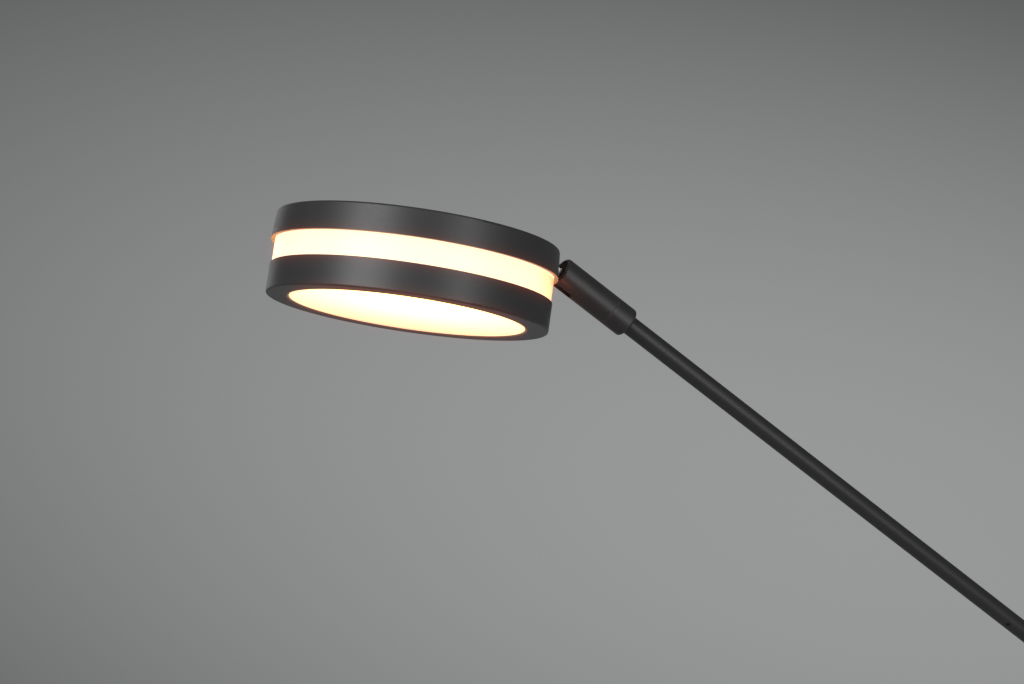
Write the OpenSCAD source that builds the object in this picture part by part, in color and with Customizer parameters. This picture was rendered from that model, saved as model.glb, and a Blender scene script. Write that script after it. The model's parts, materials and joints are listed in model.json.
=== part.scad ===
// Floor lamp: a disc head with a lit band and a lit underside, on a jointed arm and a slim pole.
// Millimetres, +Z up, origin on the floor under the pole. The arm points along -X.

/* [Base] */
// Diameter of the round base
base_d = 240; // [200:5:300]
// Thickness of the steel weight in the base
weight_t = 12; // [12:0.5:18]
// Sheet thickness of the pressed base cover
cover_t = 1.5; // [1:0.1:2.5]
// Height of the rubber feet under the weight
foot_h = 4.5; // [4:0.5:8]
// Bore of the inlet that the supply cord goes through
cord_bore_d = 6.2; // [5:0.1:6.6]

/* [Switch] */
// Diameter of the foot button
button_d = 22; // [16:1:26]
// Travel of the foot button
button_travel = 4; // [2:0.5:5]
// Distance from the pole to the button
button_x = 68; // [55:1:85]

/* [Pole] */
// Outer diameter of the pole
pole_d = 16; // [14:0.5:18]
// Wall of the pole tubes
pole_wall = 1.5; // [1:0.1:2]
// Height of the elbow pin above the floor
elbow_z = 1190; // [900:5:1500]
// Outer diameter of the elbow sleeve
elbow_d = 20; // [19:0.5:26]

/* [Arm] */
// Distance from the elbow pin to the hinge pin
arm_reach = 397.5; // [320:0.5:600]
// Outer diameter of the arm tube
arm_d = 10; // [9:0.5:11]
// Wall of the arm tube
arm_wall = 1.5; // [1:0.1:1.8]
// Angle of the arm above the horizontal, at rest
arm_angle = 33.14; // [0:0.01:60]

/* [Knuckle] */
// Outer diameter of the knuckle sleeve
sleeve_d = 16; // [15:0.5:20]
// Length of the slotted part of the sleeve
fork_l = 34; // [32:1:50]
// Length of the collar on the arm tube
collar_l = 13; // [9:0.5:16]
// Distance from the slotted end to the hinge pin
pin_inset = 7; // [6.5:0.5:9]

/* [Head] */
// Diameter of the head at the cap's rim
head_d = 145; // [140:1:220]
// Height of the cap from its rim to its top
cap_h = 14.2; // [13.8:0.1:22]
// Height of the lit band that shows between cap and ring
band_h = 12.4; // [10:0.1:20]
// Height of the lower ring
ring_h = 15; // [14:0.1:24]
// Wall of the cap and of the lower ring
shell_t = 1.8; // [1.4:0.1:2]
// Slope of the head towards the pole, at rest
head_slope = 8.96; // [0:0.01:20]
// Distance from the cap's rim to the hinge pin
lug_out = 14.8; // [14:0.1:30]

/* [Fits] */
// Radial clearance of pins, studs, screws and spigots
slip = 0.05; // [0.03:0.01:0.08]
// Gap between flat faces that turn against each other
face_gap = 0.1; // [0.05:0.01:0.2]
// Air gap around parts that pass through an opening
air = 0.3; // [0.3:0.05:0.5]

/* [Hidden] */
$fn = 96;

// Colours
anthracite = "#3a3a3c";
steel = "#8d9196";
nickel = "#c9c7c2";
rubber = "#1c1c1c";
opal = "#fff4d6";
copper = "#b5713c";

// Heights in the base
weight_top = foot_h + weight_t;
cover_top = weight_top + cover_t;
skirt_z = 2;
base_edge = 4;
weight_r = base_d / 2 - cover_t - 1;
foot_r = 9;
foot_sink = 2.5;
foot_count = 5;
foot_ring = weight_r - 22;

// Cord inlet at the rear of the base
gland_z = 9;
gland_r = cord_bore_d / 2 + 0.9;
gland_rim = gland_r + 2.5;
gland_rim_l = 3;
gland_in = 9;
gland_nut_l = 4;
notch_l = 16;
channel_w = 8;
channel_h = 7;

// Foot switch
button_r = button_d / 2;
button_lip = 2;
button_lip_t = 2.4;
button_proud = button_travel + 3;
button_dish = 0.8;
dish_chord = button_r - 3;
dish_r = (dish_chord * dish_chord + button_dish * button_dish) / (2 * button_dish);
housing_wall = 1.8;
housing_r = button_r + button_lip + 0.5 + housing_wall;
housing_floor = 1.5;
housing_z = foot_h + 2;
bezel_h = 2;
bezel_w = 3.5;

// Pole and the clamp under it
pole_r = pole_d / 2;
pole_in = pole_r - pole_wall;
nipple_r = 5;
nipple_bore = 2.4;
washer_r = 12;
washer_t = 1.5;
nut_t = 3;
nut_r = 8.5;
clamp_depth = 5;
nut_cover_r = 22;
foot_collar_r = pole_r + 10;
foot_collar_h = 18;
foot_collar_floor = 4;
pole_bottom = cover_top + foot_collar_floor;
plug_l = 18;
pole_joint = elbow_z / 2;
coupler_l = 80;
coupler_bore = 4.8;
lead_r = 2.2;

// Elbow
elbow_r = elbow_d / 2;
elbow_end = 9;
elbow_drop = 32;
elbow_slot = 6;
elbow_pin_r = 2.5;
elbow_collar_h = 18;
elbow_socket = 9;
elbow_web = 4;
elbow_stud_r = 5;
elbow_stud_head = pole_in + 0.5;
elbow_stud_head_t = 3;
elbow_stud_in = 14;
elbow_face = elbow_z - elbow_drop;
pole_top = elbow_face - face_gap - elbow_collar_h + elbow_socket;
washer_play = 0.05;
washer_leaf = 0.45;
stop_r = 0.7;
stop_proud = 1.2;
stop_seat = 1.5;
stop_turn = 165;

// Arm, measured along the arm from the elbow pin
arm_r = arm_d / 2;
arm_in = arm_r - arm_wall;
fork_tip = arm_reach + pin_inset;
fork_foot = fork_tip - fork_l;
collar_top = fork_foot - face_gap;
collar_foot = collar_top - collar_l;
eye_r = 5;
lug_round = 26;
arm_foot = 36;
spigot_l = 48;
arm_bore = 1.4;
arm_lead_r = 1.25;
set_screw_z = arm_foot + 35.5;
set_screw_r = 1.5;
set_screw_turn = 50;

// Knuckle
sleeve_r = sleeve_d / 2;
fork_slot = 5;
slot_back = 5;
slot_roof = 6;
hinge_pin_r = 2;
knuckle_web = 2;
tube_seat = collar_l - knuckle_web - 2;
stud_r = 3;
stud_head_t = 1.6;
stud_in = 10;
stud_bore = 1.7;
edge_round = 1.5;
seam_round = 0.2;
fork_rim = 1.6;
fork_recess = 3;
pin_cover = 2;
pin_sink = 0.5;

// Head, measured from the middle of the band along the head's axis
head_r = head_d / 2;
cap_rim = band_h / 2;
cap_top = cap_rim + cap_h;
cap_edge = 1.2;
cap_shoulder_r = head_r - 1;
ring_r = head_r - 1.3;
ring_top = -band_h / 2;
ring_bottom = ring_top - ring_h;
ring_edge = 1;
ring_inner_edge = 0.5;
lip_r = ring_r - 11.6;
lip_top = ring_bottom + shell_t;
web_t = 2;
web_hole = 12;
band_r = head_r - 2.2;
band_t = 2.5;
plate_z = cap_rim + 1.7;
plate_t = 2.5;
plate_top = plate_z + plate_t;
plate_r = band_r - 0.5;
hub_r = head_r - 25;
hub_t = 5;
hub_screw_ring = hub_r - hub_t / 2;
boss_ring = head_r - 13;
boss_r = 4;
thread_r = 1.5;
thread_depth = 6;
screw_bite = 5;
screw_head_r = 2.8;
screw_head_h = 1.6;
lug_eye_r = 4;
lug_v = plate_top + lug_eye_r - 0.6;
lug_u = head_r + lug_out;
lug_t = fork_slot - 2 * (washer_leaf + washer_play);
lug_foot_u = head_r - 35;
lug_foot_l = 30;
lug_foot_w = 24;
lug_foot_t = 3;
lug_step_u = plate_r + 0.6;
lug_screw_u = lug_foot_u + lug_foot_l / 2;
lug_screw_y = 8;
strip_t = 1.5;
strip_h = 9;
led_w = 3.5;
led_h = 2.8;
led_t = 0.8;
band_led_count = 36;
board_t = 1.6;
board_r = hub_r - 7;
board_hole = 4;
board_screw_ring = board_r / 2;
board_rings = [[0.33, 6], [0.68, 12], [0.92, 18]];
driver_l = 60;
driver_w = 34;
driver_h = 10;
lens_sink = 0.3;
lens_t = 2.5;
lens_r = lip_r - 0.2;
tab_out = 2;
tab_t = 1;
tab_count = 6;

// Places
module arm_frame() {
    translate([0, 0, elbow_z])
        rotate([0, arm_angle - 90, 0])
            children();
}

module head_frame() {
    arm_frame()
        translate([0, 0, arm_reach])
            rotate([0, 90 - arm_angle + head_slope, 0])
                translate([-lug_u, 0, -lug_v])
                    children();
}

module around(count, radius, start = 0) {
    for (i = [0 : count - 1])
        rotate([0, 0, start + i * 360 / count])
            translate([radius, 0, 0])
                children();
}

// Shapes that repeat
module tube(outer, inner, z0, z1) {
    translate([0, 0, z0])
        difference() {
            cylinder(r = outer, h = z1 - z0);
            translate([0, 0, -1])
                cylinder(r = inner, h = z1 - z0 + 2);
        }
}

module rod(radius, z0, z1) {
    translate([0, 0, z0])
        cylinder(r = radius, h = z1 - z0);
}

module cross_rod(radius, length) {
    rotate([90, 0, 0])
        cylinder(r = radius, h = length, center = true);
}

// Cross pin of a sleeve, or its hole: blind on the -Y side, and let in on the +Y side
module cross_pin(radius, sleeve, sink) {
    rotate([-90, 0, 0])
        rod(radius, pin_cover - sleeve, sleeve - sink);
}

// Half outline of a turned bar with rounded lower and upper edges
module bar_outline(radius, z0, z1, low, high) {
    square_w = radius - max(low, high);
    translate([0, z0])
        square([square_w, z1 - z0]);
    translate([0, z0 + low])
        square([radius, z1 - z0 - low - high]);
    translate([0, z0])
        square([radius - low, low + 0.001]);
    translate([0, z1 - high - 0.001])
        square([radius - high, high + 0.001]);
    translate([radius - low, z0 + low])
        circle(r = low);
    translate([radius - high, z1 - high])
        circle(r = high);
}

module bar(radius, z0, z1, low, high) {
    rotate_extrude()
        bar_outline(radius, z0, z1, low, high);
}

// Screw with its head's underside at z = 0 and its shank downwards
module screw(radius, length, head_r, head_h) {
    difference() {
        union() {
            translate([0, 0, -length])
                cylinder(r = radius, h = length);
            cylinder(r = head_r, h = head_h);
        }
        translate([0, 0, head_h / 2])
            cylinder(r = head_r * 0.5, h = head_h, $fn = 6);
    }
}

// Headless screw along +X from z-axis distance r0 to r1, with a hexagon socket outside
module set_screw(radius, r0, r1) {
    rotate([0, 90, 0])
        difference() {
            rod(radius, r0, r1);
            translate([0, 0, r1 - (r1 - r0) / 2])
                cylinder(r = radius * 0.55, h = r1 - r0, $fn = 6);
        }
}

module cross_hole(radius, r0, r1) {
    rotate([0, 90, 0])
        rod(radius, r0, r1);
}

// Groove that lets a stop pin travel through the swivel's range
module stop_groove(ring, face) {
    half = stop_turn + asin((stop_r + air) / ring) + 1;
    rotate([0, 0, -half])
        rotate_extrude(angle = 2 * half)
            translate([ring - stop_r - air, face - 1])
                square([2 * (stop_r + air), 1 + stop_proud + air]);
}

elbow_stop_ring = (elbow_stud_r + elbow_r) / 2;
head_stop_ring = (stud_r + sleeve_r) / 2;

// Base
module base_weight() {
    chamfer = base_edge + 1;
    color(steel)
        difference() {
            rotate_extrude()
                polygon([[0, foot_h], [weight_r, foot_h], [weight_r, weight_top - chamfer],
                    [weight_r - chamfer, weight_top], [0, weight_top]]);
            rod(nipple_r + slip, 0, cover_top);
            rod(washer_r + 1, 0, foot_h + clamp_depth);
            around(foot_count, foot_ring, 36)
                rod(foot_r + slip, 0, foot_h + foot_sink);
            translate([-button_x, 0, 0])
                rod(housing_r + slip, housing_z, cover_top);
            translate([-button_x, -channel_w / 2, 0])
                cube([button_x + base_d, channel_w, foot_h + channel_h]);
            translate([base_d / 2 - notch_l, -gland_rim - 2, 0])
                cube([notch_l, 2 * gland_rim + 4, cover_top]);
        }
}

module base_cover() {
    color(anthracite)
        difference() {
            rotate_extrude()
                difference() {
                    bar_outline(base_d / 2, skirt_z, cover_top, 0.5, base_edge);
                    bar_outline(base_d / 2 - cover_t, skirt_z - 9, weight_top, 0.5, base_edge - cover_t);
                }
            rod(nipple_r + slip, 0, cover_top + 1);
            translate([-button_x, 0, 0])
                rod(button_r + air, 0, cover_top + 1);
            translate([0, 0, gland_z])
                cross_hole(gland_r + slip, base_d / 2 - 10, base_d / 2 + 1);
        }
}

module base_feet() {
    color(rubber)
        around(foot_count, foot_ring, 36)
            bar(foot_r, 0, foot_h + foot_sink, 1, 0.5);
}

module nut_cover() {
    color(rubber)
        bar(nut_cover_r, 0, foot_h, 1, 0.5);
}

module cord_gland() {
    color(rubber)
        translate([base_d / 2, 0, gland_z])
            rotate([0, 90, 0])
                difference() {
                    union() {
                        rod(gland_r, -gland_in, 1);
                        bar(gland_rim, 0, gland_rim_l, 0.2, 1);
                    }
                    rod(cord_bore_d / 2, -gland_in - 1, gland_rim_l + 1);
                }
}

module gland_nut() {
    back = cover_t + 0.4;
    color(steel)
        translate([base_d / 2, 0, gland_z])
            rotate([0, 90, 0])
                difference() {
                    translate([0, 0, -back - gland_nut_l])
                        cylinder(r = gland_rim, h = gland_nut_l, $fn = 6);
                    rod(gland_r + slip, -gland_in - 5, 0);
                }
}

module switch_housing() {
    color("#222224")
        translate([-button_x, 0, 0])
            difference() {
                rod(housing_r, housing_z, weight_top);
                rod(housing_r - housing_wall, housing_z + housing_floor, cover_top);
            }
}

module button_bezel() {
    color(nickel)
        translate([-button_x, 0, 0])
            difference() {
                bar(button_r + air + bezel_w, cover_top, cover_top + bezel_h, 0.2, 0.8);
                rod(button_r + air, 0, cover_top + bezel_h + 1);
            }
}

module push_button() {
    lip_top_z = weight_top - air;
    crown = cover_top + button_proud;
    color(anthracite)
        translate([-button_x, 0, 0])
            difference() {
                union() {
                    rod(button_r + button_lip, lip_top_z - button_lip_t, lip_top_z);
                    bar(button_r, lip_top_z - button_lip_t, crown, 0.2, 2.5);
                }
                translate([0, 0, crown - button_dish + dish_r])
                    sphere(r = dish_r);
            }
}

module pole_nipple() {
    color(steel)
        tube(nipple_r, nipple_bore, foot_h + 0.5, pole_bottom + plug_l);
}

module pole_washer() {
    color(steel)
        tube(washer_r, nipple_r + slip, foot_h + clamp_depth - washer_t, foot_h + clamp_depth);
}

module pole_nut() {
    top = foot_h + clamp_depth - washer_t;
    color(steel)
        difference() {
            translate([0, 0, top - nut_t])
                cylinder(r = nut_r, h = nut_t, $fn = 6);
            rod(nipple_r + slip, 0, top + 1);
        }
}

foot_screw_z = cover_top + foot_collar_h * 0.6;
foot_screw_r = 2;

module pole_foot() {
    color(anthracite)
        difference() {
            bar(foot_collar_r, cover_top, cover_top + foot_collar_h, 0.3, 3);
            rod(nipple_r + slip, 0, cover_top + foot_collar_h);
            rod(pole_r + slip, pole_bottom, cover_top + foot_collar_h + 1);
            translate([0, 0, foot_screw_z])
                cross_hole(foot_screw_r + slip, 0, foot_collar_r + 1);
        }
}

module foot_set_screw() {
    color(steel)
        translate([0, 0, foot_screw_z])
            set_screw(foot_screw_r, pole_r + slip, foot_collar_r - 1);
}

// Pole
module pole_plug() {
    color(steel)
        tube(pole_in - slip, nipple_r + slip, pole_bottom, pole_bottom + plug_l);
}

module lower_pole() {
    color(anthracite)
        tube(pole_r, pole_in, pole_bottom, pole_joint);
}

module pole_coupler() {
    color(steel)
        tube(pole_in - slip, coupler_bore, pole_joint - coupler_l / 2, pole_joint + coupler_l / 2);
}

module upper_pole() {
    color(anthracite)
        tube(pole_r, pole_in, pole_joint, pole_top);
}

module pole_lead() {
    color(rubber)
        rod(lead_r, foot_h + 1, pole_top - 12);
}

// Elbow
elbow_collar_top = elbow_face - face_gap;
elbow_collar_foot = elbow_collar_top - elbow_collar_h;
elbow_screw_z = elbow_collar_foot + elbow_socket / 2;

module elbow_collar() {
    color(anthracite)
        difference() {
            bar(elbow_r, elbow_collar_foot, elbow_collar_top, edge_round, seam_round);
            rod(elbow_stud_r + slip, elbow_collar_foot, elbow_face);
            rod(elbow_stud_head + air, elbow_collar_foot, elbow_collar_top - elbow_web);
            rod(pole_r + slip, elbow_collar_foot - 1, pole_top);
            translate([0, 0, elbow_screw_z])
                cross_hole(set_screw_r + slip, 0, elbow_r + 1);
            rotate([0, 0, 180])
                translate([elbow_stop_ring, 0, 0])
                    rod(stop_r + slip, elbow_collar_top - stop_seat, elbow_face);
        }
}

module collar_set_screw() {
    color(steel)
        translate([0, 0, elbow_screw_z])
            set_screw(set_screw_r, pole_r + slip, elbow_r - 0.2);
}

module elbow_stop_pin() {
    color(steel)
        rotate([0, 0, 180])
            translate([elbow_stop_ring, 0, 0])
                rod(stop_r, elbow_collar_top - stop_seat, elbow_face + stop_proud);
}

module elbow_stud() {
    head_top = elbow_collar_top - elbow_web - face_gap;
    color(steel)
        difference() {
            union() {
                rod(elbow_stud_head, head_top - elbow_stud_head_t, head_top);
                rod(elbow_stud_r, head_top - 1, elbow_face + elbow_stud_in);
            }
            rod(lead_r + 0.5, head_top - 9, elbow_z);
        }
}

module elbow_fork() {
    slot_floor = elbow_z - elbow_end;
    color(anthracite)
        difference() {
            bar(elbow_r, elbow_face, elbow_z + elbow_end, seam_round, edge_round);
            translate([-elbow_d, -elbow_slot / 2, slot_floor])
                cube([2 * elbow_d, elbow_slot, elbow_d + elbow_end]);
            rod(elbow_stud_r + slip, elbow_face - 1, elbow_face + elbow_stud_in);
            rod(lead_r + 0.5, elbow_face, elbow_z);
            rod(elbow_r - fork_rim, elbow_z + elbow_end - fork_recess, elbow_z + elbow_end + 1);
            translate([0, 0, elbow_z])
                cross_pin(elbow_pin_r + slip, elbow_r, -1);
            rotate([0, 0, 180])
                stop_groove(elbow_stop_ring, elbow_face);
        }
}

module elbow_pin() {
    color(nickel)
        translate([0, 0, elbow_z])
            cross_pin(elbow_pin_r, elbow_r, pin_sink);
}

// Two washers on a cross pin, against the cheeks of a slot
module washer_pair(slot, pin_r, eye) {
    for (side = [-1, 1])
        translate([0, side * (slot - washer_leaf) / 2, 0])
            difference() {
                cross_rod(eye - air, washer_leaf);
                cross_rod(pin_r + slip, 2 * washer_leaf);
            }
}

module elbow_washers() {
    color(copper)
        translate([0, 0, elbow_z])
            washer_pair(elbow_slot, elbow_pin_r, eye_r);
}

// Arm
module arm_lug() {
    thick = elbow_slot - 2 * (washer_leaf + washer_play);
    color(nickel)
        arm_frame()
            difference() {
                union() {
                    cross_rod(eye_r, thick);
                    translate([-eye_r, -thick / 2, 0])
                        cube([2 * eye_r, thick, lug_round + 2]);
                    bar(arm_r, lug_round, arm_foot, 0.5, 0.2);
                    rod(arm_in - slip, arm_foot - 1, arm_foot + spigot_l);
                }
                cross_rod(elbow_pin_r + slip, 2 * elbow_d);
                rod(arm_bore, lug_round, arm_foot + spigot_l + 1);
            }
}

module turned_to_screw() {
    translate([0, 0, set_screw_z])
        rotate([0, 0, -90 - set_screw_turn])
            children();
}

module arm_set_screw() {
    color(steel)
        arm_frame()
            turned_to_screw()
                set_screw(set_screw_r - slip, arm_in, arm_r - 0.2);
}

module arm_tube() {
    color(anthracite)
        arm_frame()
            difference() {
                tube(arm_r, arm_in, arm_foot, collar_foot + tube_seat);
                turned_to_screw()
                    cross_hole(set_screw_r, 0, arm_d);
            }
}

module arm_lead() {
    color(rubber)
        arm_frame()
            rod(arm_lead_r, lug_round + 2, collar_foot + tube_seat - 1);
}

module head_collar() {
    color(anthracite)
        arm_frame()
            difference() {
                bar(sleeve_r, collar_foot, collar_top, edge_round, seam_round);
                rod(stud_r + slip, collar_foot, fork_foot);
                rod(arm_r - air, collar_foot, collar_top - knuckle_web);
                rod(arm_r + slip, collar_foot - 1, collar_foot + tube_seat);
                translate([head_stop_ring, 0, 0])
                    rod(stop_r + slip, collar_top - stop_seat, fork_foot);
            }
}

module head_stop_pin() {
    color(steel)
        arm_frame()
            translate([head_stop_ring, 0, 0])
                rod(stop_r, collar_top - stop_seat, fork_foot + stop_proud);
}

// Knuckle: a sleeve slotted from below, so its upper side stays closed
module head_stud() {
    head_top = collar_top - knuckle_web - face_gap;
    color(steel)
        arm_frame()
            difference() {
                union() {
                    rod(arm_r - 2 * air, head_top - stud_head_t, head_top);
                    rod(stud_r, head_top - 1, fork_foot + stud_in);
                }
                rod(stud_bore, head_top - 9, fork_tip);
            }
}

module head_fork() {
    color(anthracite)
        arm_frame()
            difference() {
                bar(sleeve_r, fork_foot, fork_tip, seam_round, edge_round);
                translate([-sleeve_d, -fork_slot / 2, arm_reach - slot_back])
                    cube([sleeve_d + slot_roof, fork_slot, sleeve_d + pin_inset]);
                rod(stud_r + slip, fork_foot - 1, fork_foot + stud_in);
                rod(stud_bore, fork_foot, arm_reach);
                rod(sleeve_r - fork_rim, fork_tip - fork_recess, fork_tip + 1);
                translate([0, 0, arm_reach])
                    cross_pin(hinge_pin_r + slip, sleeve_r, -1);
                stop_groove(head_stop_ring, fork_foot);
            }
}

module hinge_pin() {
    color(nickel)
        arm_frame()
            translate([0, 0, arm_reach])
                cross_pin(hinge_pin_r, sleeve_r, pin_sink);
}

module hinge_washers() {
    color(copper)
        arm_frame()
            translate([0, 0, arm_reach])
                washer_pair(fork_slot, hinge_pin_r, lug_eye_r);
}

// Head
module head_lug() {
    color(nickel)
        head_frame()
            difference() {
                union() {
                    translate([lug_u, 0, lug_v])
                        cross_rod(lug_eye_r, lug_t);
                    translate([lug_step_u, -lug_t / 2, lug_v - lug_eye_r])
                        cube([lug_u - lug_step_u, lug_t, 2 * lug_eye_r]);
                    translate([lug_foot_u, -lug_t / 2, plate_top])
                        cube([lug_step_u + 1 - lug_foot_u, lug_t, lug_v + lug_eye_r - plate_top]);
                    translate([lug_foot_u, -lug_foot_w / 2, plate_top])
                        cube([lug_foot_l, lug_foot_w, lug_foot_t]);
                }
                translate([lug_u, 0, lug_v])
                    cross_rod(hinge_pin_r + slip, 2 * sleeve_d);
                for (side = [-1, 1])
                    translate([lug_screw_u, side * lug_screw_y, 0])
                        rod(thread_r + slip, plate_z, cap_top);
            }
}

module lug_screws() {
    color(steel)
        head_frame()
            for (side = [-1, 1])
                translate([lug_screw_u, side * lug_screw_y, plate_top + lug_foot_t])
                    screw(thread_r, plate_t + lug_foot_t, screw_head_r, screw_head_h);
}

module head_cap() {
    inner_r = head_r - shell_t;
    inner_top_r = cap_shoulder_r - shell_t;
    color(anthracite)
        head_frame()
            difference() {
                union() {
                    rotate_extrude()
                        difference() {
                            union() {
                                polygon([[0, cap_rim], [head_r, cap_rim],
                                    [cap_shoulder_r, cap_top - cap_edge], [0, cap_top - cap_edge]]);
                                translate([0, cap_top - cap_edge - 0.001])
                                    square([cap_shoulder_r - cap_edge, cap_edge + 0.001]);
                                translate([cap_shoulder_r - cap_edge, cap_top - cap_edge])
                                    circle(r = cap_edge);
                            }
                            polygon([[-1, cap_rim - 1], [inner_r, cap_rim - 1], [inner_r, cap_rim],
                                [inner_top_r, cap_top - cap_edge], [inner_top_r, cap_top - shell_t],
                                [-1, cap_top - shell_t]]);
                        }
                    around(3, boss_ring, 60)
                        rod(boss_r, plate_top, cap_top - 1);
                }
                around(3, boss_ring, 60)
                    rod(thread_r + slip, plate_top - 1, plate_top + thread_depth);
                translate([plate_r - 4, -lug_t / 2 - air, lug_v - lug_eye_r - air])
                    cube([head_r, lug_t + 2 * air, 2 * lug_eye_r + 2 * air]);
            }
}

module cap_screws() {
    color(steel)
        head_frame()
            around(3, boss_ring, 60)
                translate([0, 0, plate_z])
                    mirror([0, 0, 1])
                        screw(thread_r, plate_t + screw_bite, screw_head_r, screw_head_h);
}

module mount_plate() {
    color("#b9bcc0")
        head_frame()
            difference() {
                rod(plate_r, plate_z, plate_top);
                around(3, boss_ring, 60)
                    rod(thread_r + slip, plate_z - 1, plate_top + 1);
                around(3, hub_screw_ring, 30)
                    rod(thread_r + slip, plate_z - 1, plate_top + 1);
                for (side = [-1, 1])
                    translate([lug_screw_u, side * lug_screw_y, 0])
                        rod(thread_r + slip, plate_z - 1, plate_top + 1);
            }
}

module light_hub() {
    color("#d5d7da")
        head_frame()
            difference() {
                tube(hub_r, hub_r - hub_t, ring_top, plate_z);
                around(3, hub_screw_ring, 30)
                    rod(thread_r + slip, plate_z - thread_depth, plate_z + 1);
                around(3, hub_screw_ring, 90)
                    rod(thread_r + slip, ring_top - 1, ring_top + thread_depth);
            }
}

module hub_screws() {
    color(steel)
        head_frame() {
            around(3, hub_screw_ring, 30)
                translate([0, 0, plate_top])
                    screw(thread_r, plate_t + screw_bite, screw_head_r, screw_head_h);
            around(3, hub_screw_ring, 90)
                translate([0, 0, ring_top - web_t])
                    mirror([0, 0, 1])
                        screw(thread_r, web_t + screw_bite, screw_head_r, screw_head_h);
        }
}

module band_led_strip() {
    color("#f2efe6")
        head_frame()
            tube(hub_r + slip + strip_t, hub_r + slip, -strip_h / 2, strip_h / 2);
}

module band_leds() {
    color("#f6d77a")
        head_frame()
            around(band_led_count, hub_r + slip + strip_t)
                translate([0, -led_w / 2, -led_h / 2])
                    cube([led_t, led_w, led_h]);
}

module band_diffuser() {
    color(opal)
        head_frame()
            tube(band_r, band_r - band_t, ring_top, plate_z);
}

module lower_ring() {
    color(anthracite)
        head_frame()
            difference() {
                rotate_extrude() {
                    difference() {
                        bar_outline(ring_r, ring_bottom, ring_top, ring_edge, 0.3);
                        bar_outline(ring_r - shell_t, lip_top, ring_top - web_t, ring_inner_edge, 0.3);
                        translate([-1, ring_bottom - 1])
                            square([lip_r + shell_t / 2 + 1, shell_t + 2]);
                    }
                    translate([lip_r + shell_t / 2, ring_bottom + shell_t / 2])
                        circle(r = shell_t / 2);
                }
                rod(web_hole, ring_top - web_t - 1, ring_top + 1);
                around(3, hub_screw_ring, 90)
                    rod(thread_r + slip, ring_top - web_t - 1, ring_top + 1);
                around(3, board_screw_ring, 30)
                    rod(thread_r + slip, ring_top - web_t - 1, ring_top + 1);
            }
}

board_top = ring_top - web_t;

module led_board() {
    color("#f2efe6")
        head_frame()
            difference() {
                tube(board_r, board_hole, board_top - board_t, board_top);
                around(3, board_screw_ring, 30)
                    rod(thread_r + slip, board_top - board_t - 1, board_top + 1);
            }
}

module board_leds() {
    color("#f6d77a")
        head_frame()
            for (spec = board_rings)
                around(spec[1], spec[0] * board_r, 10)
                    translate([-led_w / 2, -led_h / 2, board_top - board_t - led_t])
                        cube([led_w, led_h, led_t]);
}

module board_screws() {
    color(steel)
        head_frame()
            around(3, board_screw_ring, 30)
                translate([0, 0, board_top - board_t])
                    mirror([0, 0, 1])
                        screw(thread_r, board_t + web_t, screw_head_r, screw_head_h);
}

module led_driver() {
    color("#2b2d33")
        head_frame()
            translate([-driver_l / 2, -driver_w / 2, plate_z - driver_h])
                cube([driver_l, driver_w, driver_h]);
}

module bottom_diffuser() {
    low = ring_bottom + lens_sink;
    color(opal)
        head_frame() {
            rod(lens_r, low, low + lens_t);
            intersection() {
                tube(lens_r + tab_out, lens_r - 2, lip_top, lip_top + tab_t);
                around(tab_count, lens_r)
                    translate([-4, -6, lip_top])
                        cube([8, 12, tab_t]);
            }
        }
}

base_weight();
base_cover();
base_feet();
nut_cover();
cord_gland();
gland_nut();
switch_housing();
button_bezel();
push_button();
pole_nipple();
pole_washer();
pole_nut();
pole_foot();
foot_set_screw();
pole_plug();
lower_pole();
pole_coupler();
upper_pole();
pole_lead();
elbow_collar();
collar_set_screw();
elbow_stop_pin();
elbow_stud();
elbow_fork();
elbow_pin();
elbow_washers();
arm_lug();
arm_set_screw();
arm_tube();
arm_lead();
head_collar();
head_stop_pin();
head_stud();
head_fork();
hinge_pin();
hinge_washers();
head_lug();
lug_screws();
head_cap();
cap_screws();
mount_plate();
light_hub();
hub_screws();
band_led_strip();
band_leds();
band_diffuser();
lower_ring();
led_board();
board_leds();
board_screws();
led_driver();
bottom_diffuser();
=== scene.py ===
import json
import math

import bpy
from mathutils import Matrix, Vector

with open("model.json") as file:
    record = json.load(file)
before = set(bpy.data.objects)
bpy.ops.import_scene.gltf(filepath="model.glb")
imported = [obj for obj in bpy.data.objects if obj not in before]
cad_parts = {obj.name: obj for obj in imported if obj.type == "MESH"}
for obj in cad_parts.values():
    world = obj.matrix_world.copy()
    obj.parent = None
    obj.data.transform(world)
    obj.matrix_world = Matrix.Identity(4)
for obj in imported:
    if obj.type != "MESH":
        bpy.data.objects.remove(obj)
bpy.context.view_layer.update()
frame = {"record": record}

mm = 0.001

# Where the head and the arm lie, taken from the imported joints
joints = {joint["name"]: joint for joint in frame["record"]["behaviour"]["joints"]}
hingePoint = Vector(joints["head_tilt"]["pos_m"])
elbowPoint = Vector(joints["arm_tilt"]["pos_m"])
armDirection = (hingePoint - elbowPoint).normalized()
armTurn = math.atan2(armDirection.x, armDirection.z)  # about Y, from +Z to the arm

headShape = {
    "slope": math.radians(8.96),        # the head sinks towards the pole
    "lugReach": 87.3 * mm,              # hinge pin to the head's axis
    "lugHeight": 13.8 * mm,             # hinge pin above the middle of the band
    "capRim": 6.2 * mm,                 # the cap's lower edge above that middle
    "lensRadius": 59.4 * mm,
}
headAcross = Vector((math.cos(headShape["slope"]), 0, -math.sin(headShape["slope"])))
headUp = Vector((math.sin(headShape["slope"]), 0, math.cos(headShape["slope"])))
headMiddle = hingePoint - headAcross * headShape["lugReach"] - headUp * headShape["lugHeight"]

# Middle and turn about Y of the places that the finishes follow
headPlace = (headMiddle, headShape["slope"])
armPlace = (hingePoint, armTurn)
print("frame loaded, head middle", [round(v, 4) for v in headMiddle])


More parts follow.
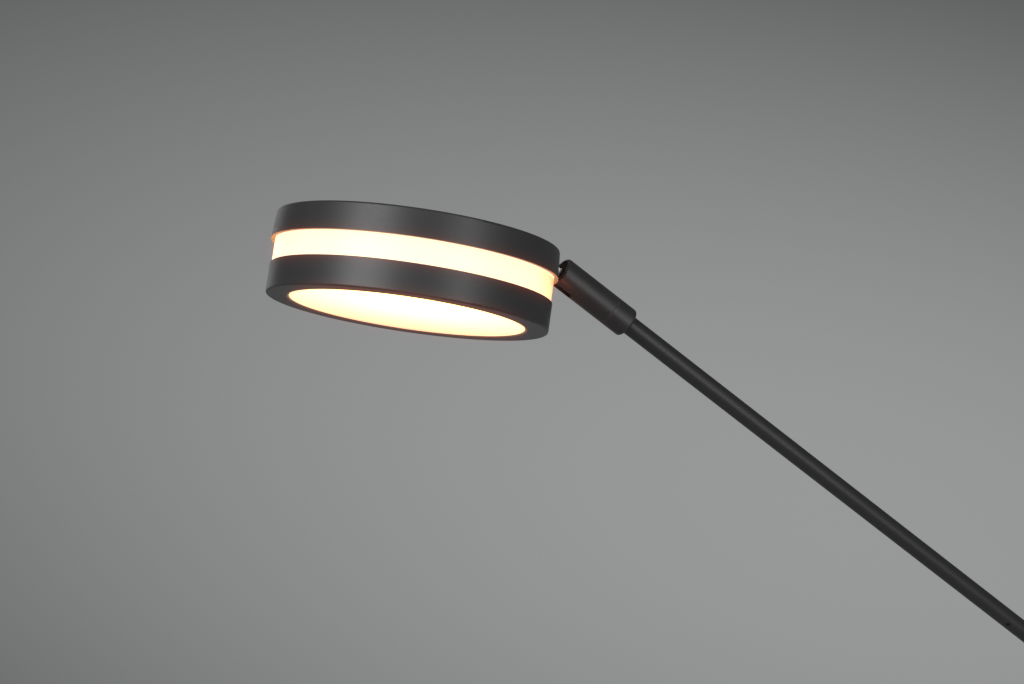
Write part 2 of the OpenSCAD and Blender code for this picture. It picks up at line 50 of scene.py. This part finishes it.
# Shader maths as plain expressions on sockets
class Flow:
    def __init__(self, maker, socket):
        self.maker = maker
        self.socket = socket

    def __add__(self, other):
        return self.maker.maths("ADD", self, other)

    def __radd__(self, other):
        return self.maker.maths("ADD", other, self)

    def __sub__(self, other):
        return self.maker.maths("SUBTRACT", self, other)

    def __rsub__(self, other):
        return self.maker.maths("SUBTRACT", other, self)

    def __mul__(self, other):
        return self.maker.maths("MULTIPLY", self, other)

    def __rmul__(self, other):
        return self.maker.maths("MULTIPLY", other, self)

    def __truediv__(self, other):
        return self.maker.maths("DIVIDE", self, other)

    def __rtruediv__(self, other):
        return self.maker.maths("DIVIDE", other, self)

    def __pow__(self, other):
        return self.maker.maths("POWER", self, other)

    def __rpow__(self, other):
        return self.maker.maths("POWER", other, self)


# Nodes of one finish, or of the backdrop
class Nodes:
    def __init__(self, tree):
        self.tree = tree

    def node(self, kind, settings, values, out=0):
        made = self.tree.nodes.new(kind)
        for key, value in settings.items():
            setattr(made, key, value)
        for key, value in values.items():
            self.feed(made.inputs[key], value)
        return Flow(self, made.outputs[out])

    def feed(self, socket, value):
        if isinstance(value, Flow):
            self.tree.links.new(value.socket, socket)
        elif socket.type == "RGBA":
            socket.default_value = (*value, 1)
        else:
            socket.default_value = value

    def maths(self, operation, first, second=0):
        return self.node("ShaderNodeMath", {"operation": operation}, {0: first, 1: second})


class Finish(Nodes):
    def __init__(self, name):
        self.material = bpy.data.materials.new(name)
        self.material.use_nodes = True
        super().__init__(self.material.node_tree)
        self.shader = self.tree.nodes["Principled BSDF"]
        self.place = self.node("ShaderNodeTexCoord", {}, {}, "Object")

    def set(self, **values):
        for key, value in values.items():
            self.feed(self.shader.inputs[key.replace("_", " ")], value)

    # X, Y and Z from a middle, turned about Y
    def local(self, middle, turn):
        spot = self.node("ShaderNodeMapping", {"vector_type": "TEXTURE"},
                         {"Vector": self.place, "Location": tuple(middle), "Rotation": (0, turn, 0)})
        apart = self.node("ShaderNodeSeparateXYZ", {}, {0: spot}).socket.node
        return [Flow(self, output) for output in apart.outputs]

    def length(self, x, y):
        return (x * x + y * y) ** 0.5

    def noise(self, scale, detail, roughness=0.55, place=None):
        return self.node("ShaderNodeTexNoise", {},
                         {"Vector": place or self.place, "Scale": scale, "Detail": detail,
                          "Roughness": roughness})

    # 0 below low, 1 above high, soft between
    def step(self, value, low, high):
        return self.node("ShaderNodeMapRange", {"interpolation_type": "SMOOTHSTEP"},
                         {"Value": value, "From Min": low, "From Max": high})

    def mix(self, factor, first, second):
        return self.node("ShaderNodeMix", {"data_type": "RGBA"}, {0: factor, 6: first, 7: second}, 2)

    def bump(self, height, strength, distance):
        return self.node("ShaderNodeBump", {},
                         {"Height": height, "Strength": strength, "Distance": distance})

    # Clouds between two colours, and a grain that sets the gloss and the relief
    def coat(self, plan, grain):
        least, spread = plan["roughness"]
        cloud = self.noise(*plan["cloud"])
        self.set(Base_Color=self.mix(cloud, plan["dark"], plan["pale"]), Roughness=least + spread * grain)
        self.set(Metallic=plan.get("metallic", 0))
        if "relief" in plan:
            self.set(Normal=self.bump(grain, *plan["relief"]))
        return self

    # A colour laid over the base colour
    def cover(self, factor, colour):
        below = Flow(self, self.shader.inputs["Base Color"].links[0].from_socket)
        self.set(Base_Color=self.mix(factor, below, colour))
        return self

    # Light of the piece: first colour, then others laid over it by their factors
    def glow(self, first, *layers):
        peak = 8  # keeps the colours themselves below 1
        light = tuple(value / peak for value in first)
        for factor, colour in layers:
            light = self.mix(factor, light, tuple(value / peak for value in colour))
        self.set(Emission_Color=light, Emission_Strength=peak)
        return self


# Camera at the photograph's angle
cameraPlan = {
    "lens": 98.44,
    "sensor": 36,
    "azimuth": math.radians(-26.4),
    "elevation": math.radians(-3.60),   # it looks up a little
    "distance": 1.400,                  # along the line of sight to the head's middle
    "imageWidth": 1024,
    "imageHeight": 684,
    "headPixel": (413.0, 272.25),       # where the head's middle falls
    "clipEnd": 100,
}


def makeCamera(plan):
    level = Vector((-math.sin(plan["azimuth"]), math.cos(plan["azimuth"]), 0))
    right = Vector((level.y, -level.x, 0))
    climb = -plan["elevation"]
    forward = level * math.cos(climb) + Vector((0, 0, math.sin(climb)))
    up = right.cross(forward)
    focal = plan["lens"] / plan["sensor"] * plan["imageWidth"]
    across = (plan["headPixel"][0] - plan["imageWidth"] / 2) / focal * plan["distance"]
    down = (plan["headPixel"][1] - plan["imageHeight"] / 2) / focal * plan["distance"]
    spot = headMiddle - right * across + up * down - forward * plan["distance"]
    bpy.ops.object.camera_add()
    camera = bpy.context.object
    camera.name = "photoCamera"
    camera.data.lens = plan["lens"]
    camera.data.sensor_width = plan["sensor"]
    camera.data.clip_end = plan["clipEnd"]
    turn = Matrix((right, up, -forward)).transposed()
    camera.matrix_world = Matrix.Translation(spot) @ turn.to_4x4()
    bpy.context.scene.camera = camera
    print("camera at", [round(v, 3) for v in spot])
    return right, up, forward


viewRight, viewUp, viewForward = makeCamera(cameraPlan)

# In every finish: noise is scale, detail and roughness, relief is strength and depth,
# and roughness with two values is the least and the range above it

# Anthracite paint with clouds, a fine grain and specks
paintPlan = {
    "dark": (0.021, 0.0205, 0.021),
    "pale": (0.029, 0.0285, 0.029),
    "headPaintedLight": 1.3,                    # the head's copy of the paint is paler, a painted light
    "tubePaintedShade": 0.8,                    # and the tube's copy darker, a painted shade
    "cloud": (60, 3),
    "grain": (900, 2, 0.6),
    "speck": (2970, 2, 0.7),
    "speckShare": 0.3,                  # in the colour beside the cloud, in the relief beside the grain
    "roughness": 0.44,
    "grainRange": 0.10,                 # of the roughness
    "cloudRange": 0.05,
    "relief": (0.25, 0.1 * mm),
}


def anthracitePaint(name, lift=1.0):
    paint = Finish(name)
    # A lift above 1 makes a paler copy of the paint, a painted light; below 1 a darker copy, a painted
    # shade
    dark, pale = (tuple(lift * value for value in paintPlan[key]) for key in ("dark", "pale"))
    cloud, grain, speck = (paint.noise(*paintPlan[key]) for key in ("cloud", "grain", "speck"))
    share = paintPlan["speckShare"]
    paint.set(Base_Color=paint.mix((1 - share) * cloud + share * speck, dark, pale))
    paint.set(Roughness=paintPlan["roughness"] + paintPlan["grainRange"] * (grain - 0.5)
              + paintPlan["cloudRange"] * (cloud - 0.5))
    paint.set(Normal=paint.bump((1 - share) * grain + share * speck, *paintPlan["relief"]))
    return paint


# The cap's rim has a painted glow on its underside and inside: a warm colour that stands in for the
# band's light falling there
rimPlan = {
    "paintedGlow": (0.50, 0.46, 0.23),
    "paintedDimGlow": (0.10, 0.075, 0.05),
    "turn": math.radians(-26.4),        # turn of the camera's right; the full painted glow lies there and opposite
    "spread": (0.80, 0.98),             # squared cosine of the angle from it, dim to full painted glow
    "edge": (0.02 * mm, 0.25 * mm),     # above the rim, from painted glow to plain paint
}


def capPaint():
    paint = anthracitePaint("capPaint", paintPlan["headPaintedLight"])
    x, y, z = paint.local(*headPlace)
    under = 1 - paint.step(z, *(headShape["capRim"] + height for height in rimPlan["edge"]))
    aside = (x * math.cos(rimPlan["turn"]) + y * math.sin(rimPlan["turn"])) / paint.length(x, y)
    paintedLight = paint.step(aside * aside, *rimPlan["spread"])
    # Painted glow of the band's light under the rim: dim all round, full at the two sides across the view
    return paint.cover(under, paint.mix(paintedLight, rimPlan["paintedDimGlow"], rimPlan["paintedGlow"]))


# The ring's lip has a painted glow where it holds the lens: a warm colour that stands in for the lens's
# light on it
lipPlan = {
    "paintedGlow": (0.40, 0.25, 0.14),
    "radius": 59.6 * mm,
    "bead": 1.0 * mm,                   # width of the painted glow
    "edge": 0.25 * mm,                  # painted glow to plain paint
}


def ringPaint():
    paint = anthracitePaint("ringPaint", paintPlan["headPaintedLight"])
    x, y, _ = paint.local(*headPlace)
    beadEnd = lipPlan["radius"] + lipPlan["bead"]
    inner = 1 - paint.step(paint.length(x, y), beadEnd, beadEnd + lipPlan["edge"])
    # Painted glow of the lens's light on the lip's inner bead
    return paint.cover(inner, lipPlan["paintedGlow"])


# The sleeve's seam is painted paler: a painted light that lifts the shade in its groove
seamPlan = {
    "paintedLight": (0.050, 0.049, 0.050),
    "along": -27.05 * mm,               # from the hinge, down the arm
    "half": 0.35 * mm,
}


def sleevePaint():
    paint = anthracitePaint("sleevePaint")
    _, _, z = paint.local(*armPlace)
    off = z - seamPlan["along"]
    seam = 1 - paint.step((off * off) ** 0.5, seamPlan["half"], 2 * seamPlan["half"])
    # Painted light in the seam's groove, against the shade there
    return paint.cover(seam, seamPlan["paintedLight"])


# Opal acrylic with warm light behind it, brighter than the picture can show
opalPlan = {
    "dark": (0.28, 0.265, 0.235),
    "pale": (0.33, 0.31, 0.28),
    "roughnessRange": 0.06,
    "specular": 0.2,
}


def opalAcrylic(name, plan):
    opal = Finish(name)
    soft = opal.noise(*plan["cloud"])
    opal.set(Base_Color=opal.mix(soft, opalPlan["dark"], opalPlan["pale"]))
    opal.set(Roughness=plan["roughness"] + opalPlan["roughnessRange"] * soft)
    opal.set(Specular_IOR_Level=opalPlan["specular"])
    return opal, soft


bandPlan = {
    "light": (4.1, 1.35, 0.62),
    "hingeLight": (2.2, 0.42, 0.11),    # behind the lug's plate
    "edgeLight": (1.3, 1.0, 0.62),      # where the opal goes under the metal
    "hingeSide": (0.50, 0.97),          # cosine of the angle from the hinge, none to full
    "hingeLow": 0.7,                    # how much of the hinge's light shows in the lower half
    "upperFrom": -2.0 * mm,             # height where the upper half sets in
    "upperShade": 0.10,
    "cloudShade": 0.06,
    "edge": (1.2 * mm, 0.1 * mm),       # from the metal, none to full
    "cloud": (25, 2),
    "roughness": 0.34,
}


def opalBand():
    opal, soft = opalAcrylic("opalBand", bandPlan)
    x, y, z = opal.local(*headPlace)
    rim = headShape["capRim"]
    upper = opal.step(z, bandPlan["upperFrom"], rim)
    towardsHinge = opal.step(x / opal.length(x, y), *bandPlan["hingeSide"])
    hinge = towardsHinge * (bandPlan["hingeLow"] + (1 - bandPlan["hingeLow"]) * upper)
    shade = bandPlan["upperShade"] * upper + bandPlan["cloudShade"] * soft
    start, end = bandPlan["edge"]
    under = opal.step(z, rim - start, rim - end) + 1 - opal.step(z, end - rim, start - rim)
    return opal.glow(bandPlan["light"], (hinge, bandPlan["hingeLight"]), (shade, (0, 0, 0)),
                     (under, bandPlan["edgeLight"]))


# Distances on the lens are in its radius
lensPlan = {
    "light": (6.2, 3.3, 0.95),
    "farLight": (3.0, 0.68, 0.41),      # furthest from the bright spot
    "edgeLight": (1.25, 0.85, 0.48),    # where the opal goes under the ring
    "brightSpot": (-0.20, -0.56),       # off the middle
    "fall": (0.27, 1.70),               # from the bright spot
    "fallCloud": 0.04,
    "edge": (0.965, 0.995),             # from the middle, none to full
    "cloud": (30, 2),
    "roughness": 0.38,
}


def opalLens():
    opal, soft = opalAcrylic("opalLens", lensPlan)
    x, y, _ = opal.local(*headPlace)
    radius = headShape["lensRadius"]
    spotX, spotY = (radius * value for value in lensPlan["brightSpot"])
    away = opal.length(x - spotX, y - spotY) / radius + lensPlan["fallCloud"] * (soft - 0.5)
    fall = opal.step(away, *lensPlan["fall"])
    under = opal.step(opal.length(x, y) / radius, *lensPlan["edge"])
    return opal.glow(lensPlan["light"], (fall, lensPlan["farLight"]), (under, lensPlan["edgeLight"]))


nickelPlan = {
    "dark": (0.66, 0.63, 0.58),
    "pale": (0.78, 0.76, 0.72),
    "cloud": (120, 2),
    "grain": (900, 2, 0.6),
    "streak": (1, 14, 1),               # finer along Y, so brushed across it
    "metallic": 1,
    "roughness": (0.24, 0.10),
    "relief": (0.03, 0.05 * mm),
}


def nickelPlate():
    plate = Finish("nickelPlate")
    streak = plate.node("ShaderNodeMapping", {}, {"Vector": plate.place, "Scale": nickelPlan["streak"]})
    return plate.coat(nickelPlan, plate.noise(*nickelPlan["grain"], streak))


steelPlan = {
    "dark": (0.38, 0.38, 0.39),
    "pale": (0.52, 0.52, 0.53),
    "cloud": (180, 3),
    "grain": (2400, 2, 0.6),
    "metallic": 1,
    "roughness": (0.30, 0.16),
    "relief": (0.10, 0.05 * mm),
}


def turnedSteel():
    steel = Finish("turnedSteel")
    return steel.coat(steelPlan, steel.noise(*steelPlan["grain"]))


screwPlan = {
    "dark": (0.006, 0.006, 0.006),
    "pale": (0.014, 0.014, 0.015),
    "cloud": (300, 2),
    "grain": (2600, 2, 0.6),
    "roughness": (0.5, 0.2),
    "relief": (0.1, 0.05 * mm),
}


def blackScrew():
    oxide = Finish("blackScrew")
    return oxide.coat(screwPlan, oxide.noise(*screwPlan["grain"]))


castPlan = {
    "dark": (0.07, 0.068, 0.066),
    "pale": (0.13, 0.125, 0.12),
    "cloud": (22, 4),
    "grain": (420, 5, 0.65),
    "metallic": 0.6,
    "roughness": (0.55, 0.25),
    "relief": (0.35, 0.25 * mm),
}


def castWeight():
    cast = Finish("castWeight")
    return cast.coat(castPlan, cast.noise(*castPlan["grain"]))


rubberPlan = {
    "dark": (0.012, 0.012, 0.012),
    "pale": (0.026, 0.026, 0.026),
    "cloud": (70, 3),
    "grain": (1500, 3, 0.6),
    "roughness": (0.68, 0.2),
    "relief": (0.2, 0.08 * mm),
}


def blackRubber():
    rubber = Finish("blackRubber")
    return rubber.coat(rubberPlan, rubber.noise(*rubberPlan["grain"]))


plasticPlan = {
    "dark": (0.018, 0.018, 0.019),
    "pale": (0.030, 0.030, 0.031),
    "cloud": (90, 3),
    "cells": 1400,                      # in a metre
    "roughness": (0.42, 0.2),
    "relief": (0.18, 0.1 * mm),
}


def grainedPlastic():
    plastic = Finish("grainedPlastic")
    cells = plastic.node("ShaderNodeTexVoronoi", {},
                         {"Vector": plastic.place, "Scale": plasticPlan["cells"]}, "Distance")
    return plastic.coat(plasticPlan, cells)


brassPlan = {
    "dark": (0.50, 0.33, 0.13),
    "pale": (0.68, 0.47, 0.2),
    "cloud": (140, 3),
    "grain": (2000, 2, 0.6),
    "metallic": 1,
    "roughness": (0.28, 0.16),
    "relief": (0.08, 0.05 * mm),
}


def turnedBrass():
    brass = Finish("turnedBrass")
    return brass.coat(brassPlan, brass.noise(*brassPlan["grain"]))


boardPlan = {
    "dark": (0.74, 0.73, 0.69),
    "pale": (0.86, 0.85, 0.81),
    "cloud": (60, 2),
    "grain": (800, 2),
    "roughness": (0.35, 0.1),
    "relief": (0.06, 0.05 * mm),
}


def boardWhite():
    board = Finish("boardWhite")
    return board.coat(boardPlan, board.noise(*boardPlan["grain"]))


# The small lights under their yellow phosphor
phosphorPlan = {
    "dark": (0.80, 0.56, 0.12),
    "pale": (0.92, 0.72, 0.25),
    "cloud": (3000, 2),
    "roughness": (0.3, 0.1),
    "darkLight": (1.0, 0.70, 0.36),
    "paleLight": (1.0, 0.78, 0.45),
    "strength": 2.0,
}


def phosphor():
    chip = Finish("phosphor")
    grain = chip.noise(*phosphorPlan["cloud"])
    chip.coat(phosphorPlan, grain)
    chip.set(Emission_Color=chip.mix(grain, phosphorPlan["darkLight"], phosphorPlan["paleLight"]))
    chip.set(Emission_Strength=phosphorPlan["strength"])
    return chip


aluminiumPlan = {
    "dark": (0.60, 0.60, 0.62),
    "pale": (0.72, 0.72, 0.73),
    "cloud": (70, 3),
    "rings": {"Scale": 4000, "Detail": 2},
    "metallic": 1,
    "roughness": (0.30, 0.18),
    "relief": (0.08, 0.05 * mm),
}


def turnedAluminium():
    metal = Finish("turnedAluminium")
    x, y, _ = metal.local(*headPlace)
    rings = metal.node("ShaderNodeTexNoise", {"noise_dimensions": "1D"},
                       {"W": metal.length(x, y), **aluminiumPlan["rings"]})
    return metal.coat(aluminiumPlan, rings)


# Finishes by the record's material slots, and those of single pieces
finishes = {
    "anthracite_steel": anthracitePaint("armPaint"),
    "weight_steel": castWeight(),
    "steel": turnedSteel(),
    "nickel": nickelPlate(),
    "brass": turnedBrass(),
    "rubber": blackRubber(),
    "black_plastic": grainedPlastic(),
    "opal": opalBand(),
    "board_white": boardWhite(),
    "led_yellow": phosphor(),
    "bare_aluminium": turnedAluminium(),
}
sleeve = sleevePaint()
special = {
    "head_cap": capPaint(),
    "lower_ring": ringPaint(),
    "head_fork": sleeve,
    "head_collar": sleeve,
    "arm_tube": anthracitePaint("tubePaint", paintPlan["tubePaintedShade"]),
    "bottom_diffuser": opalLens(),
    "arm_set_screw": blackScrew(),
}
slotOf = {part["node"]: part["material_slot"] for part in frame["record"]["subparts"]}


def dress(node):
    finish = special.get(node) or finishes[slotOf[node]]
    piece = bpy.data.objects[node]
    piece.data.materials.clear()
    piece.data.materials.append(finish.material)


for node in slotOf:
    dress(node)
print("finishes on", len(slotOf), "nodes")


# Pale floor, small enough to stay out of the photograph's frame
floorPlan = {
    "radius": 5.0,
    "corners": 96,
    "dark": (0.68, 0.68, 0.67),
    "pale": (0.7208, 0.7208, 0.7102),
    "cloud": (1.2, 3),
    "grain": (300, 2),
    "roughness": (0.75, 0.1),
}


def makeFloor(plan):
    bpy.ops.mesh.primitive_circle_add(vertices=plan["corners"], radius=plan["radius"],
                                      fill_type="NGON", location=(0, 0, 0))
    floor = bpy.context.object
    floor.name = "paleFloor"
    paper = Finish("floorPaper")
    paper.coat(plan, paper.noise(*plan["grain"]))
    floor.data.materials.append(paper.material)
    # Its glow and shadow stay off the lamp
    floor.visible_diffuse = floor.visible_glossy = floor.visible_shadow = False
    return floor


floor = makeFloor(floorPlan)
print("floor laid")

# Grey studio: a backdrop that is brightest near the line of sight, and soft boxes around the head
studioPlan = {
    "grey": (0.990, 1.003, 1.007),
    "dim": 0.125,
    "bright": (0.529, -0.214),          # gain and offset of the bright part
    "spot": (0.110, -0.058),            # its middle, right of and above the line of sight
    "spread": (0.643, 0.279),
    "turn": math.radians(-11.4),
    "below": 0.12,                      # added straight below, for the floor's glow on the lamp
    "boxes": [
        # name, degrees right of the camera and above it, distance, width and height, power
        ("keyBox", -35, 19, 1.6, (0.95, 1.0), 19.8),
        ("sideBox", 43, 3, 1.6, (0.40, 1.7), 10.5),
        ("edgeBox", -151, 8, 2.2, (0.55, 1.2), 2.4),
        ("lowBox", 180, -22, 1.7, (1.8, 0.5), 0.45),
    ],
}


def makeBackdrop(plan):
    world = bpy.data.worlds.new("studio")
    bpy.context.scene.world = world
    world.use_nodes = True
    studio = Nodes(world.node_tree)
    look = studio.node("ShaderNodeTexCoord", {}, {}, "Generated")

    def along(axis):
        return studio.node("ShaderNodeVectorMath", {"operation": "DOT_PRODUCT"},
                           {0: look, 1: axis}, "Value")

    turn = Matrix.Rotation(plan["turn"], 3, -viewForward)
    middle = viewRight * plan["spot"][0] + viewUp * plan["spot"][1]
    away = 0
    for axis, spread in zip((turn @ viewRight, turn @ viewUp), plan["spread"]):
        off = (along(axis) - axis.dot(middle)) / spread
        away = off * off + away
    gain, offset = plan["bright"]
    bright = studio.maths("EXPONENT", away * -1) * gain + offset
    below = studio.maths("MAXIMUM", along(Vector((0, 0, -1))), 0)
    level = below * plan["below"] + studio.maths("MAXIMUM", bright, plan["dim"])
    back = world.node_tree.nodes["Background"]
    studio.feed(back.inputs["Color"], plan["grey"])
    studio.feed(back.inputs["Strength"], level)


# What a light falls on: these pieces alone (INCLUDE), or all but these (EXCLUDE)
def receivers(name, pieces, state):
    lit = bpy.data.collections.new(name)
    for piece in pieces:
        lit.objects.link(piece)
    for member in lit.collection_objects:
        member.light_linking.link_state = state
    return lit


def addLight(name, spot, power, lit):
    bpy.ops.object.light_add(type="AREA", location=spot)
    light = bpy.context.object
    light.name = name
    light.data.energy = power
    light.light_linking.receiver_collection = lit
    return light


def aim(light, spot, target):
    light.rotation_euler = (target - spot).to_track_quat("-Z", "Y").to_euler()


def makeBoxes(plan):
    lamp = receivers("floorLeftOut", [floor], "EXCLUDE")
    for name, side, climb, distance, size, power in plan["boxes"]:
        side, climb = math.radians(side), math.radians(climb)
        level = viewRight * math.sin(side) - viewForward * math.cos(side)
        spot = headMiddle + distance * (level * math.cos(climb) + viewUp * math.sin(climb))
        box = addLight(name, spot, power, lamp)
        box.data.shape = "RECTANGLE"
        box.data.size, box.data.size_y = size
        aim(box, spot, headMiddle)


# Soft light from above that falls on the floor alone
floorLight = {"height": 3.4, "size": 7.0, "power": 190}


def lightFloor(plan):
    lit = receivers("floorAlone", [floor], "INCLUDE")
    sky = addLight("floorBox", Vector((0, 0, plan["height"])), plan["power"], lit)
    sky.data.shape = "DISK"
    sky.data.size = plan["size"]


# Warm glow of the band's hinge end on the sleeve
sleeveGlow = {
    "turn": math.radians(-10),          # round the head from the hinge
    "reach": 80 * mm,                   # from the head's axis
    "drop": 6 * mm,                     # below the band's middle
    "along": 1 * mm,                    # back from the hinge to the place that it lights
    "size": 5 * mm,
    "power": 0.0009,
    "colour": (1.0, 0.20, 0.04),
    "nodes": ("head_fork", "head_collar"),
}


def lightSleeve(plan):
    outwards = headAcross * math.cos(plan["turn"]) + Vector((0, math.sin(plan["turn"]), 0))
    spot = headMiddle + outwards * plan["reach"] - headUp * plan["drop"]
    lit = receivers("sleeveAlone", [bpy.data.objects[node] for node in plan["nodes"]], "INCLUDE")
    glow = addLight("sleeveGlow", spot, plan["power"], lit)
    glow.visible_camera = False
    glow.data.size = plan["size"]
    glow.data.color = plan["colour"]
    aim(glow, spot, hingePoint - armDirection * plan["along"])


makeBackdrop(studioPlan)
makeBoxes(studioPlan)
lightFloor(floorLight)
lightSleeve(sleeveGlow)
bpy.context.scene.view_settings.view_transform = "Standard"
print("studio lit")

# Warm halo that the bright opal leaves in the picture
haloPlan = {"Threshold": 1.0, "Strength": 0.10, "Tint": (1.0, 0.33, 0.18, 1), "Size": 0.025}


def addHalo(plan):
    scene = bpy.context.scene
    scene.use_nodes = True
    tree = scene.node_tree
    tree.nodes.clear()
    layers = tree.nodes.new("CompositorNodeRLayers")
    halo = tree.nodes.new("CompositorNodeGlare")
    halo.glare_type = "BLOOM"
    halo.quality = "HIGH"
    for name, value in plan.items():
        halo.inputs[name].default_value = value
    out = tree.nodes.new("CompositorNodeComposite")
    tree.links.new(layers.outputs["Image"], halo.inputs["Image"])
    tree.links.new(halo.outputs["Image"], out.inputs["Image"])


addHalo(haloPlan)
print("halo added")
